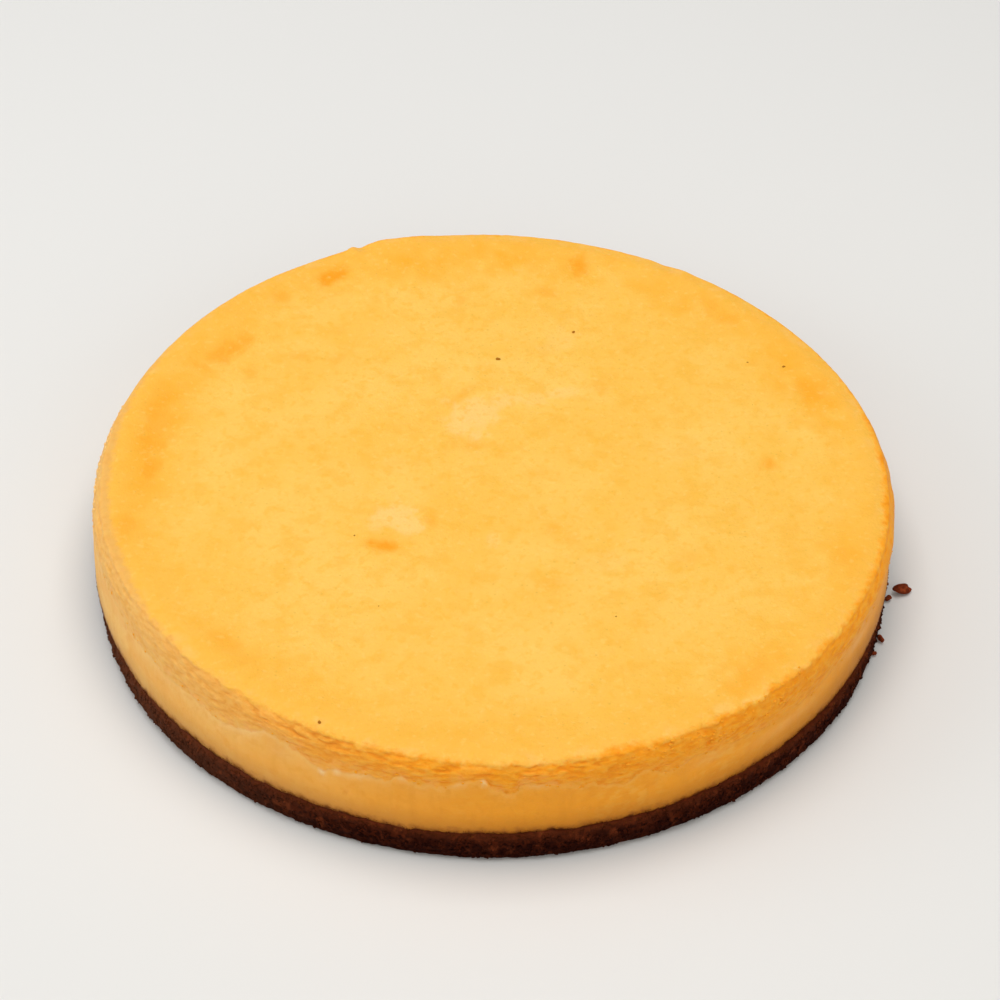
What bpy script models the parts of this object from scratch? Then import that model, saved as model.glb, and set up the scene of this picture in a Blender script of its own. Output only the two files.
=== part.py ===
"""A whole baked cheesecake: a pressed chocolate crumb base with a baked custard filling on it.

Units are metres, +Z is up, and the origin is at the middle of the underside, on what the cake
stands on. Each layer is a turned body: its profile is spun round the cake's axis, and then the
baked cake's unevenness is worked into it, so that the outline, the rim and the torn edge on
the side aren't perfectly round or level.
"""
import math

import bmesh
import bpy
from mathutils import Vector

# Driving dimensions.
WALL_RADIUS = 0.1140      # custard wall where it meets the crumb base
CAKE_HEIGHT = 0.0326      # from the underside to the rim's edge, before the top's tilt
BASE_HEIGHT = 0.0089      # thickness of the crumb base
LAYER_GAP = 0.0003        # between the crumb base and the custard

# Custard wall and rim.
FOOT_ROUND = 0.0004       # rounded lower corner of the custard
FOOT_SPREAD = 0.0006      # how far the wall stands out at its foot
WALL_DRAW = 0.0003        # how far the wall has drawn in below the torn edge
RIM_INSET = 0.0035        # how far the top's edge stands inside the wall
RIM_ROUND = 0.0010        # rounded edge of the top
RIM_CREST = 0.0004        # how far the puffed rim stands above the top's edge
CENTRE_DIP = 0.0009       # how far the middle has sunk below the top's edge
CREST_INSET = 0.0045      # from the top's edge to the rim's crest
DIP_RINGS = ((0.0115, 0.3), (0.0225, 0.7), (0.0550, 1.0))  # inset from the edge, share of the dip

# Where the browned skin has torn off the upper half of the wall.
TORN_HEIGHT = 0.0240      # mean height of the torn skin's lower edge
TORN_DEPTH = 0.0008       # how far the torn band lies back from the smooth wall
TORN_REACH = 0.0080       # how far above and below the edge its scallops shift the wall
TORN_STEP = 0.0005        # height of the small ledge
LIP_DEPTH = 0.0002        # how far the smooth wall's torn lip is rounded back

# Crumb base.
BASE_FLARE = 0.0008       # how far the crumb base stands out past the custard's foot
BASE_BEVEL = 0.0005       # broken lower and upper corners of the pressed crumb
BASE_TUCKS = ((178.0, 48.0, 0.0016), (2.0, 40.0, 0.0014))  # angle, half width, depth inwards
CRUMB_EDGE = 0.1030       # radius past which the crumb's edge is rough
CRUMB_TWIST = 40.0        # how far its roughness turns from the bottom to the top, in degrees
INNER_RING = 0.0680       # a ring that keeps the flat faces' triangles short

# Unevenness: each wave is (how many round the cake, amplitude, phase in degrees).
OUTLINE_WAVES = ((2, 0.00015, 20.0), (3, 0.00030, 100.0), (5, 0.00018, 250.0))
RIM_WAVES = ((1, 0.00080, -4.0), (2, 0.00068, -73.0), (3, 0.00026, -84.0), (4, 0.00038, 43.0))
LEVEL_WAVES = ((3, 0.00016, 70.0), (5, 0.00012, 10.0), (9, 0.00010, 130.0))
TORN_WAVES = ((5, 0.00230, 260.0), (13, 0.00070, 60.0), (24, 0.00060, 300.0))
BASE_WAVES = ((1, 0.00060, -75.0), (4, 0.00030, 150.0))
CRUMB_WAVES = ((7, 0.00022, 15.0), (13, 0.00020, 80.0), (23, 0.00020, 200.0))
TOP_SLOPE = -0.0149       # rise of the top for each metre towards +X
RIM_SWELLINGS = ((108.0, 14.0, 0.0010), (88.0, 52.0, 0.0004))  # angle, half width, rise

SEGMENTS = 120            # steps round the cake
WALL_STEPS = 4            # rings on the smooth wall
BAND_STEPS = 4            # rings on the torn band
ROUND_STEPS = 3           # rings on the rim's rounded edge
SMOOTH_ANGLE = math.radians(50.0)
MERGE_DISTANCE = 0.00001

TOP_RADIUS = WALL_RADIUS - RIM_INSET


def clear_scene():
    """Remove every object that is already in the scene."""
    for item in list(bpy.data.objects):
        bpy.data.objects.remove(item, do_unlink=True)


def baked_material(name, color, roughness):
    """A matt, non-metallic food surface."""
    material = bpy.data.materials.new(name)
    material.use_nodes = True
    shader = material.node_tree.nodes["Principled BSDF"]
    shader.inputs["Base Color"].default_value = (*color, 1.0)
    shader.inputs["Roughness"].default_value = roughness
    shader.inputs["Metallic"].default_value = 0.0
    return material


def custard_material():
    return baked_material("baked_custard", (0.93, 0.56, 0.12), 0.45)


def crumb_material():
    return baked_material("chocolate_crumb", (0.055, 0.018, 0.008), 0.85)


def wave_sum(waves, angle):
    """Sum of cosine waves round the cake, in metres, at an angle in radians."""
    return sum(size * math.cos(count * angle - math.radians(phase)) for count, size, phase in waves)


def blend(value, low, high):
    """0 below low, 1 above high, and a smooth rise between them."""
    share = min(max((value - low) / (high - low), 0.0), 1.0)
    return share * share * (3.0 - 2.0 * share)


def lobe_sum(lobes, angle):
    """Sum of soft swellings round the cake, each an angle, a half width and a size."""
    total = 0.0
    for centre, half_width, size in lobes:
        away = math.degrees(math.remainder(angle - math.radians(centre), 2.0 * math.pi))
        total += size * blend(half_width - abs(away), 0.0, half_width)
    return total


def smooth_wall_profile():
    """From the rounded foot of the custard up to the torn skin's edge, leaning in a little."""
    foot = BASE_HEIGHT + LAYER_GAP
    points = [(WALL_RADIUS + FOOT_SPREAD - FOOT_ROUND, foot)]
    low = foot + FOOT_ROUND
    high = TORN_HEIGHT - TORN_STEP
    for step in range(WALL_STEPS + 1):
        share = step / WALL_STEPS
        radius = WALL_RADIUS + FOOT_SPREAD - (FOOT_SPREAD + WALL_DRAW) * share
        points.append((radius, low + (high - low) * share))
    return points


def torn_band_profile():
    """The small ledge, and the torn band that leans in from it to the rim."""
    start = (WALL_RADIUS - WALL_DRAW - TORN_DEPTH, TORN_HEIGHT + 0.5 * TORN_STEP)
    end = (TOP_RADIUS + RIM_ROUND, CAKE_HEIGHT - RIM_ROUND)
    points = [(WALL_RADIUS - WALL_DRAW - LIP_DEPTH, TORN_HEIGHT)]
    for step in range(BAND_STEPS):
        share = step / BAND_STEPS
        radius = start[0] + (end[0] - start[0]) * share
        points.append((radius, start[1] + (end[1] - start[1]) * share))
    return points


def rim_round_profile():
    """A quarter round from the torn band over to the top face."""
    points = []
    for step in range(ROUND_STEPS + 1):
        turn = 0.5 * math.pi * step / ROUND_STEPS
        radius = TOP_RADIUS + RIM_ROUND * math.cos(turn)
        points.append((radius, CAKE_HEIGHT - RIM_ROUND * (1.0 - math.sin(turn))))
    return points


def top_profile():
    """The puffed rim, the slope inside it and the slightly sunken middle."""
    points = [(TOP_RADIUS - CREST_INSET, CAKE_HEIGHT + RIM_CREST)]
    points += [(TOP_RADIUS - inset, CAKE_HEIGHT - share * CENTRE_DIP) for inset, share in DIP_RINGS]
    return points + [(0.0, CAKE_HEIGHT - CENTRE_DIP)]


def custard_profile():
    """Radius and height of the custard, from the underside's centre to the top's centre."""
    foot = BASE_HEIGHT + LAYER_GAP
    underside = [(0.0, foot), (INNER_RING, foot)]
    wall = smooth_wall_profile() + torn_band_profile()
    return underside + wall + rim_round_profile() + top_profile()


def base_profile():
    """Radius and height of the crumb base, from the underside's centre to its top's centre."""
    outer = WALL_RADIUS + BASE_FLARE
    return [
        (0.0, 0.0),
        (outer - BASE_BEVEL, 0.0),
        (outer, BASE_BEVEL),
        (outer + 0.5 * BASE_FLARE, 0.5 * BASE_HEIGHT),
        (outer, BASE_HEIGHT - BASE_BEVEL),
        (outer - BASE_BEVEL, BASE_HEIGHT),
        (INNER_RING, BASE_HEIGHT),
        (0.0, BASE_HEIGHT),
    ]


def turned_body(name, profile, shape, material):
    """Spin a profile round +Z, move each point by shape(point), and make an object of it."""
    mesh = bmesh.new()
    points = [mesh.verts.new((radius, 0.0, height)) for radius, height in profile]
    edges = [mesh.edges.new(pair) for pair in zip(points, points[1:])]
    bmesh.ops.spin(mesh, geom=points + edges, cent=(0.0, 0.0, 0.0), axis=(0.0, 0.0, 1.0),
                   angle=2.0 * math.pi, steps=SEGMENTS, use_merge=True)
    bmesh.ops.remove_doubles(mesh, verts=mesh.verts, dist=MERGE_DISTANCE)
    bmesh.ops.recalc_face_normals(mesh, faces=mesh.faces)
    for point in mesh.verts:
        point.co = shape(point.co.copy())
    bmesh.ops.triangulate(mesh, faces=mesh.faces)
    data = bpy.data.meshes.new(name)
    mesh.to_mesh(data)
    mesh.free()
    data.materials.append(material)
    data.shade_smooth()
    data.set_sharp_from_angle(angle=SMOOTH_ANGLE)
    body = bpy.data.objects.new(name, data)
    bpy.context.collection.objects.link(body)
    return body


def uneven_custard(point):
    """Work the baked filling's unevenness into a point of the turned custard.

    The outline waves act all over, the rim waves and the top's level only towards the top, and
    the torn waves only near the torn skin's lower edge.
    """
    radius = math.hypot(point.x, point.y)
    if radius < MERGE_DISTANCE:
        return point
    angle = math.atan2(point.y, point.x)
    outward = radius / WALL_RADIUS
    upward = blend(point.z, TORN_HEIGHT - TORN_REACH, CAKE_HEIGHT - RIM_ROUND)
    edge = blend(radius, INNER_RING, TOP_RADIUS)
    near_ledge = blend(TORN_REACH - abs(point.z - TORN_HEIGHT), 0.0, TORN_REACH)
    torn = wave_sum(TORN_WAVES, angle) * near_ledge * edge
    radius += outward * (wave_sum(OUTLINE_WAVES, angle) + upward * wave_sum(RIM_WAVES, angle))
    level = TOP_SLOPE * point.x + edge * (wave_sum(LEVEL_WAVES, angle) + lobe_sum(RIM_SWELLINGS, angle))
    height = point.z + torn + upward * level
    return Vector((radius * math.cos(angle), radius * math.sin(angle), height))


def uneven_base(point):
    """Work the pressed crumb's unevenness into a point of the turned base."""
    radius = math.hypot(point.x, point.y)
    if radius < MERGE_DISTANCE:
        return point
    angle = math.atan2(point.y, point.x)
    twist = math.radians(CRUMB_TWIST * point.z / BASE_HEIGHT)
    edge = blend(radius, CRUMB_EDGE, WALL_RADIUS)
    rough = wave_sum(CRUMB_WAVES, angle + twist)
    outline = wave_sum(OUTLINE_WAVES, angle) + wave_sum(BASE_WAVES, angle) - lobe_sum(BASE_TUCKS, angle)
    radius += radius / WALL_RADIUS * outline + edge * rough
    return Vector((radius * math.cos(angle), radius * math.sin(angle), point.z))


def main():
    clear_scene()
    turned_body("crumb_base", base_profile(), uneven_base, crumb_material())
    turned_body("custard_filling", custard_profile(), uneven_custard, custard_material())


main()
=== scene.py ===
import math
import random

import bpy
import numpy as np
from mathutils import Matrix, Vector, noise


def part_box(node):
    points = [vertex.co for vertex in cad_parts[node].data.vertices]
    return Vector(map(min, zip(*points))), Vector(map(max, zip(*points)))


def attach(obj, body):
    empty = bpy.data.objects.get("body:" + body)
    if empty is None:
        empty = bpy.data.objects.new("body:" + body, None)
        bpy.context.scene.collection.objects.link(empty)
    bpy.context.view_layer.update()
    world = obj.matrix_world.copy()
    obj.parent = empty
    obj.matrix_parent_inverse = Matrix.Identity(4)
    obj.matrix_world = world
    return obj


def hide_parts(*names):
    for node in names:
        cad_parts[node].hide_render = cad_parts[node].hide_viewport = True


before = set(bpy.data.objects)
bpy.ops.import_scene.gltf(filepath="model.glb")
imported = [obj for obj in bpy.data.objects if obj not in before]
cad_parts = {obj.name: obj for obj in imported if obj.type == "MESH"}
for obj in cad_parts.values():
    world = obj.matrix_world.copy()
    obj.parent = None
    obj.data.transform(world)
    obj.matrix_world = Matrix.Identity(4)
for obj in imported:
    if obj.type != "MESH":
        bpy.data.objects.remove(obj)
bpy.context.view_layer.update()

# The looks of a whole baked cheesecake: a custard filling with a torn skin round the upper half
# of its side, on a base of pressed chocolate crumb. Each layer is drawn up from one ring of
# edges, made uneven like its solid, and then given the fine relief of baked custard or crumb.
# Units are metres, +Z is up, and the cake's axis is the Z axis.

MM = 0.001

# The layers: heights that the frame gives, and the solids' own measures.
BASE_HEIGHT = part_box("crumb_base")[1].z
FOOT_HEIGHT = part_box("custard_filling")[0].z
WALL_RADIUS = 0.114
CAKE_HEIGHT = 0.0326
FOOT_SPREAD = 0.0006
WALL_DRAW = 0.0003
RIM_INSET = 0.0035
RIM_ROUND = 0.001
RIM_CREST = 0.0004
CREST_INSET = 0.0045
CENTRE_DIP = 0.0009
DIP_RINGS = ((0.0115, 0.3), (0.0225, 0.7), (0.055, 1.0))
TORN_HEIGHT = 0.024
TORN_DEPTH = 0.0006
BAND_ROUND = 0.0048
BASE_FLARE = 0.0008
TOP_RADIUS = WALL_RADIUS - RIM_INSET
RIM_HEIGHT = CAKE_HEIGHT - RIM_ROUND

# Unevenness, shared with the solids: waves round the cake are count, amplitude and phase in
# degrees, and lobes are angle and half width in degrees and a size.
OUTLINE_WAVES = ((2, 0.00015, 20), (3, 0.0003, 100), (5, 0.00018, 250))
RIM_WAVES = ((1, 0.0008, -4), (2, 0.00068, -73), (3, 0.00026, -84), (4, 0.00038, 43))
LEVEL_WAVES = ((3, 0.00016, 70), (5, 0.00012, 10), (9, 0.0001, 130))
TORN_WAVES = ((5, 0.0023, 260), (13, 0.0007, 60), (24, 0.0006, 300))
BASE_WAVES = ((1, 0.0006, -75), (4, 0.0003, 150))
BASE_TUCKS = ((178, 48, 0.0016), (2, 40, 0.0014))
RIM_SWELLINGS = ((108, 14, 0.001), (88, 52, 0.0004))
TOP_SLOPE = -0.0149

# The swells of the rim and the tilt start above this height, and the level waves of the top
# start outside this radius.
SWELL_FLOOR = 0.016
FLAT_RADIUS = 0.068

# Angles in degrees: where the torn skin is roughest, deepest and flakiest, and the front.
ROUGHEST = 256.0
DEEPEST = 264.0
FLAKIEST = 272.0
FRONT = 270.0

# A distance too small to see, and one past the reach of every edge.
HAIR = 0.01 * MM
FAR_AWAY = 20.0 * MM

# The foot of the custard hangs a little over the crumb.
SKIRT = 0.0004

# The torn skin's lower edge on its ragged side: angle in degrees, height in millimetres.
TORN_EDGE = (
    (196, 24.8), (205, 24.3), (210, 23.4), (215, 22.9), (220, 22.3), (225, 23.2),
    (228, 22.6), (231.5, 21.4), (236, 24), (238.5, 26.2), (240, 26.3), (242, 25.4),
    (244, 24.3), (246.5, 22.4), (247.5, 21.6), (249, 23.2), (251, 23.6), (253, 24),
    (257, 24.4), (257.6, 26.3), (259, 26.4), (260.5, 24.8), (264, 24.8), (266, 27.1),
    (268.5, 28.3), (269.4, 28), (269.9, 26), (270.6, 24.8), (271.4, 24.9), (271.9, 23.6),
    (273.2, 23.5), (273.7, 25.6), (274.4, 26.8), (277, 26.4), (280, 25.4), (282, 24.6),
    (283.4, 24.8), (284, 23.4), (286, 22.8), (287.4, 21.4), (288.6, 22.6), (289.6, 25),
    (291, 24.8), (292.3, 22.6), (294, 21.4), (296, 22), (297.2, 23.8), (299, 23.8),
    (300, 22.8), (302, 23.4), (304, 21.6), (306, 22.2), (309, 20.6), (313, 21),
    (317, 20), (321, 20.8), (324, 21.4), (328, 23.2), (335, 24.8), (345, 25.6),
)

# The seam's slow rises and dips, and two thin runs of custard: angle, half width, millimetres.
SEAM_LOBES = ((301, 30, -0.45), (226, 30, -0.35), (278, 8, 0.45), (259.2, 1.2, -0.7),
              (237, 2, -0.6), (200, 8, 0.65), (212, 7, -0.35), (326, 12, 0.1))

# How far in from the rim the torn skin's tan reaches over the top: lobes in millimetres.
SHOULDERS = ((183, 46, 2.3), (202, 12, 0.8), (353, 34, 1.3), (287.5, 6, 1.5),
             (301.5, 3, 1), (312, 12, 0.6))

# Where the side and the rim are crumbly: angle, half width, strength.
CRUMBLY = ((288, 9, 1), (302, 8, 1), (316, 16, 0.7), (268, 8, 0.3))

# Hollows of the band just above its torn edge: angle, half width, strength.
HOLLOWS = ((271.7, 2.2, 1), (284.6, 1.6, 0.6))

# Small tips and notches of the rim: angle, half width, size in millimetres.
RIM_TIPS = ((113.6, 1.2, 0.7), (112, 1.3, -0.5), (108.5, 3, 0.6), (104, 6, 0.4),
            (61.2, 2.2, -0.4), (57.4, 1.8, 0.35), (202, 16, 0.4))

# Where the smooth wall is paler under the torn edge, and where painted shade darkens it most
# towards its foot: angle, half width, strength.
WAN = ((222, 74, 1), (330, 24, 0.05), (24, 48, 0.5), (130, 60, 0.6))
FOOT_SHADE = ((332, 26, 1), (60, 60, 0.5))

# Pale flecks on the torn edge, partly custard skin, partly painted highlight: angle, half width in
# degrees, strength.
PALE_LIPS = ((247.4, 0.8, 0.8), (249.6, 0.9, 0.6), (252.5, 3, 0.25), (269.1, 0.5, 0.9),
             (266, 1.6, 0.2), (258.5, 1, 0.25), (276, 2, 0.2), (236, 8, 0.2))

# Pale streaks on the smooth wall: angle, half width, height in millimetres, strength.
PALE_STREAKS = ((331, 6, 19.8, 0.24), (313, 11, 16.5, 0.12), (300, 5, 20.5, 0.1),
                (241, 3, 22.5, 0.1))

# How strongly the ring inside the rim is browned: angle, half width in degrees, strength.
BROWNED_RING = ((97, 34, 1.15), (130, 16, 0.6), (168, 30, 0.95), (190, 16, 0.4),
                (22, 20, 1.15), (52, 26, 0.75), (310, 18, 0.5), (228, 24, 0.5),
                (337, 20, 0.75), (270, 20, 0.4), (14, 24, 0.3), (30, 10, 0.3))

# Marks on the top: x and y, half length and half width in millimetres, turn, strength.
BROWNED_MARKS = (
    (-50.4, 88, 4.6, 2.9, 50, 1.15), (26.6, 96.4, 3, 4.4, 0, 0.95), (16.6, 82.8, 2.6, 3.2, 0, 0.5),
    (-80, 52, 8, 3.6, 50, 0.75), (-97.5, 16, 3.8, 15, 0, 0.55), (-97, 0, 2.6, 5, 0, 0.6),
    (94, 36, 4.6, 5.6, 30, 0.42), (78.6, 5.2, 1.8, 2.4, 0, 0.75), (-30, -31.8, 4.4, 2, 0, 1.1),
    (-17, -21, 1.3, 3.2, 0, 0.45), (17, -24, 1.6, 2.4, 0, 0.35), (22.5, -27, 2.2, 2.4, 0, 0.3),
    (32, 38, 2.4, 3, 0, 0.3), (-9.5, 33, 1.4, 5, -40, 0.35), (-6, 11, 4, 2.4, 0, 0.3),
    (14, -1, 5, 2, 0, 0.25), (66, 77, 2.6, 4, 30, 0.4), (72, 70, 3.4, 3, 0, 0.4),
    (-65, 77, 2.6, 2.4, 0, 0.45), (-72, 42, 2.4, 2.6, 0, 0.35), (-58, 50, 2.8, 2, 0, 0.3),
    (-47, 49, 2.4, 2, 0, 0.25), (-47, 62, 2.2, 2, 0, 0.25), (-102, -26, 3, 5, 0, 0.45),
    (97, -34, 3, 4.6, 0, 0.35), (54, -34, 4, 3, 0, 0.22), (16, -45, 4, 2.2, 0, 0.25),
    (-10, 78, 1.4, 2.8, 0, 0.4), (68, -78, 9, 3.6, 48, 0.4), (-70, -72, 7, 3.4, -48, 0.35),
)
PALE_MARKS = (
    (-5, 24.5, 7.6, 6.4, 35, 0.95), (-10, 18.5, 3.6, 3, 0, 0.85), (4, 31.5, 6, 3, 20, 0.7),
    (12, 32, 4, 2.4, 0, 0.5), (20, 35, 4.4, 2.6, 10, 0.65), (-27.5, -19.5, 5.4, 4.4, 20, 0.95),
    (-23, -24, 3.4, 3.4, 0, 0.9), (-32, -23, 3.4, 3.2, 0, 0.6), (0.6, -28.2, 1.8, 2.6, 0, 0.55),
    (20, 60, 7, 4, 50, 0.3), (-27, 2, 6, 3, 0, 0.18), (52, 10, 8, 5, 0, 0.15),
    (67, -88, 3.2, 1.5, 38, 0.6), (59.4, -91, 2.6, 1.4, 33, 0.5), (30, -36, 7, 5, 0, 0.22),
)

# Dark specks in the top: x, y and size in millimetres.
DARK_SPECKS = (
    (1.5, 50.1, 1.25), (24.3, 63.4, 0.85), (-44, -98.2, 0.75), (76.2, 49.6, 0.7),
    (86.9, 47.5, 1), (-38.1, -27.5, 0.5), (76.3, 30.3, 0.45), (33.4, -57.8, 0.5),
    (-30.4, -55, 0.34), (-9, -80, 0.28),
)

# Fallen crumbs: distance from the axis in millimetres, angle in degrees, length, width and
# height in millimetres, and turn in radians.
FALLEN_CRUMBS = (
    (119.4, -8.1, 5.6, 3, 2.5, 0.3), (115.6, -9.9, 2.3, 1.7, 1.5, 1),
    (115.6, -18.2, 2.6, 1.6, 1.5, 2), (115.3, -21.2, 1.6, 1.3, 1.1, 0.4),
)

# How many small loose things of each kind there are.
CLINGING_COUNT = 4600
DUST_COUNT = 2800
PALE_BIT_COUNT = 130
EDGE_BIT_COUNT = 130
RIM_BIT_COUNT = 60

# How finely the layers are drawn: steps round the rings, rings up each part of the wall, and
# the grid that closes the top.
RING_STEPS = 1080
TOP_STEPS = 720
CRUMB_STEPS = 1080
WALL_RINGS = 11
BAND_RINGS = 25
ROUND_RINGS = 4
CRUMB_RINGS = 21
GRID_SPAN = 180
GRID_RADIUS = 0.102
RIM_RINGS = (0.1098, 0.109, 0.1078, 0.1063, 0.1046, 0.1028)


# Numbers and noise.

def clamp01(value):
    return np.clip(value, 0.0, 1.0)


def blend(value, low, high):
    """0 below low, 1 above high, and a smooth rise between them."""
    share = clamp01((value - low) / (high - low))
    return share * share * (3.0 - 2.0 * share)


def wave_sum(waves, angle):
    """Sum of cosine waves round the cake."""
    return sum(size * np.cos(count * angle - math.radians(phase)) for count, size, phase in waves)


def angle_gap(angle, centre):
    """Distance in degrees from an angle round the cake."""
    turn = np.degrees(angle) - centre
    return np.abs((turn + 180.0) % 360.0 - 180.0)


def lobe_sum(lobes, angle):
    """Sum of soft bumps round the cake, each a centre, a half width and a height."""
    return sum(height * blend(half_width - angle_gap(angle, centre), 0.0, half_width)
               for centre, half_width, height in lobes)


def sampled(function, points, size, seed):
    """A noise function's value at each point, with lumps of a size in millimetres."""
    scaled = points / (np.asarray(size) * MM) + 17.3 * seed
    return np.array([function(point) for point in scaled.tolist()])


def grain(points, size, seed):
    """Smooth noise from -1 to 1 with lumps of the given size, or of a size for each axis."""
    return sampled(noise.noise, points, size, seed)


def cloudy(points, size, seed):
    """Noise with finer and finer lumps in it, from about -1 to 1."""
    return sampled(lambda point: noise.fractal(point, 0.8, 2.1, 4), points, size, seed)


def stepped(values, steps):
    """Smooth lumps turned into low terraces with steep edges."""
    whole = np.floor(values * steps)
    return (whole + blend(values * steps - whole, 0.5, 1.0)) / steps


def cells(points, size, seed):
    """Distance to the nearest of many scattered points, about 0 to 1 for that cell size."""
    return sampled(lambda point: noise.voronoi(point)[0][0], points, size, seed)


def polar(points):
    """Distance from the axis and angle round it, in radians."""
    return np.hypot(points[:, 0], points[:, 1]), np.arctan2(points[:, 1], points[:, 0])


def from_polar(radius, angle, height):
    return np.stack([radius * np.cos(angle), radius * np.sin(angle), height], 1)


# Modelling by hand.

def ring_of_edges(name, radius, height, steps):
    """A bare ring of edges at its size and place, left open in edit mode."""
    bpy.ops.object.select_all(action="DESELECT")
    bpy.ops.mesh.primitive_circle_add(vertices=steps, radius=radius, fill_type="NOTHING",
                                      location=(0.0, 0.0, height))
    piece = bpy.context.object
    piece.name = name
    piece.data.name = name
    bpy.ops.object.transform_apply(location=True, rotation=True, scale=True)
    bpy.ops.object.mode_set(mode="EDIT")
    bpy.ops.mesh.select_mode(type="EDGE")
    bpy.ops.mesh.select_all(action="SELECT")
    return piece


def draw_up(profile):
    """Extrude the selected ring through each radius and height of a profile."""
    for (radius, height), (next_radius, next_height) in zip(profile, profile[1:]):
        rise = {"value": (0.0, 0.0, next_height - height)}
        bpy.ops.mesh.extrude_region_move(TRANSFORM_OT_translate=rise)
        share = next_radius / radius
        bpy.ops.transform.resize(value=(share, share, 1.0), center_override=(0.0, 0.0, 0.0))


def select_ring(piece, radius, height):
    """Select the ring of edges at a radius and a height."""
    bpy.ops.mesh.select_all(action="DESELECT")
    bpy.ops.object.mode_set(mode="OBJECT")
    points = read_points(piece)
    near = np.abs(np.hypot(points[:, 0], points[:, 1]) - radius) < HAIR
    near &= np.abs(points[:, 2] - height) < HAIR
    for edge in piece.data.edges:
        edge.select = bool(near[edge.vertices[0]] and near[edge.vertices[1]])
    bpy.ops.object.mode_set(mode="EDIT")


def close_disc(shares):
    """Close the selected ring with inset rings that meet in its middle."""
    still = {"value": (0.0, 0.0, 0.0)}
    for share in shares:
        bpy.ops.mesh.extrude_region_move(TRANSFORM_OT_translate=still)
        bpy.ops.transform.resize(value=(share, share, 1.0), center_override=(0.0, 0.0, 0.0))
    bpy.ops.mesh.extrude_region_move(TRANSFORM_OT_translate=still)
    bpy.ops.mesh.merge(type="CENTER")


def close_with_grid(radius, height):
    """Close the one open ring: a smaller ring inside it, a bridge between them, and a grid."""
    bpy.ops.mesh.primitive_circle_add(vertices=TOP_STEPS, radius=radius, fill_type="NOTHING",
                                      location=(0.0, 0.0, height))
    bpy.ops.mesh.select_non_manifold()
    bpy.ops.mesh.bridge_edge_loops()
    bpy.ops.mesh.select_all(action="DESELECT")
    bpy.ops.mesh.select_non_manifold()
    bpy.ops.mesh.fill_grid(span=GRID_SPAN)


def leave_edit():
    """Turn every face outwards and go back to object mode, shaded smooth."""
    bpy.ops.mesh.select_all(action="SELECT")
    bpy.ops.mesh.normals_make_consistent(inside=False)
    bpy.ops.object.mode_set(mode="OBJECT")
    bpy.ops.object.shade_smooth()


def read_points(piece):
    points = np.empty(len(piece.data.vertices) * 3)
    piece.data.vertices.foreach_get("co", points)
    return points.reshape(-1, 3)


def write_points(piece, points):
    piece.data.vertices.foreach_set("co", points.ravel())
    piece.data.update()


def paint(piece, name, values):
    """Keep a number for each point of a piece, for its material to read."""
    layer = piece.data.attributes.new(name, "FLOAT", "POINT")
    layer.data.foreach_set("value", np.asarray(values, np.float32))


# The custard filling.

def custard_profile():
    """Radius and height up the wall, over the rim and in to where the top's grid starts."""
    foot = FOOT_HEIGHT - SKIRT
    spread = WALL_RADIUS + FOOT_SPREAD
    edge = WALL_RADIUS - WALL_DRAW
    points = [(spread - 0.35 * MM, foot + 0.05 * MM), (spread - 0.1 * MM, foot)]
    for height in np.linspace(foot + 0.25 * MM, TORN_HEIGHT - 0.6 * MM, WALL_RINGS):
        points.append((WALL_RADIUS + float(wall_lean(height)), height))
    points.append((edge - 0.03 * MM, TORN_HEIGHT - 0.2 * MM))
    points.append((edge - 0.18 * MM, TORN_HEIGHT + 0.1 * MM))
    points.append((edge - 0.35 * MM, TORN_HEIGHT + 0.5 * MM))
    start = (edge - TORN_DEPTH, TORN_HEIGHT + 1.1 * MM)
    end = (TOP_RADIUS + RIM_ROUND, RIM_HEIGHT)
    for height in np.linspace(start[1], end[1], BAND_RINGS + 1):
        rounded = 1.0 - float(clamp01(1.0 - (end[1] - height) / BAND_ROUND)) ** 2
        points.append((end[0] + (start[0] - end[0]) * rounded, height))
    for step in range(1, ROUND_RINGS + 1):
        turn = 0.5 * math.pi * step / ROUND_RINGS
        points.append((TOP_RADIUS + RIM_ROUND * math.cos(turn), RIM_HEIGHT + RIM_ROUND * math.sin(turn)))
    points.extend((radius, CAKE_HEIGHT) for radius in RIM_RINGS)
    return points


def top_height(radius):
    """Height of the top face at a radius: a puffed rim round a slightly sunken middle."""
    insets = [0.0, CREST_INSET] + [inset for inset, _ in DIP_RINGS] + [TOP_RADIUS]
    rises = [0.0, RIM_CREST] + [-share * CENTRE_DIP for _, share in DIP_RINGS] + [-CENTRE_DIP]
    fine = np.linspace(0.0, TOP_RADIUS, 400)
    coarse = np.interp(fine, insets, rises)
    kernel = np.hanning(25)
    soft = np.convolve(np.pad(coarse, 12, mode="edge"), kernel / kernel.sum(), mode="valid")
    soft = np.where(fine < CREST_INSET, coarse, soft)
    return CAKE_HEIGHT + np.interp(TOP_RADIUS - radius, fine, soft)


def on_wall(angle):
    """Points on a plain circle round the wall."""
    return from_polar(np.full_like(angle, WALL_RADIUS), angle, np.zeros_like(angle))


def torn_edge(angle):
    """How far the torn skin's lower edge lies above or below its mean height."""
    around = on_wall(angle)
    turn = np.degrees(angle) % 360.0
    angles, heights = zip(*TORN_EDGE)
    seen = np.interp(turn, angles, heights) * MM - TORN_HEIGHT
    arcs = np.abs(np.sin(15.0 * angle + 1.3 * np.sin(3.0 * angle) + 0.8 * np.sin(7.0 * angle)))
    behind = 0.7 * wave_sum(TORN_WAVES, angle) + 2.2 * MM * (arcs - 0.64)
    share = blend(np.abs(turn - FRONT), 60.0, 74.0)
    rise = seen + share * (behind - seen)
    return rise + MM * (0.48 * grain(around, 2.4, 3) + 0.46 * grain(around, 1.2, 4))


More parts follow.
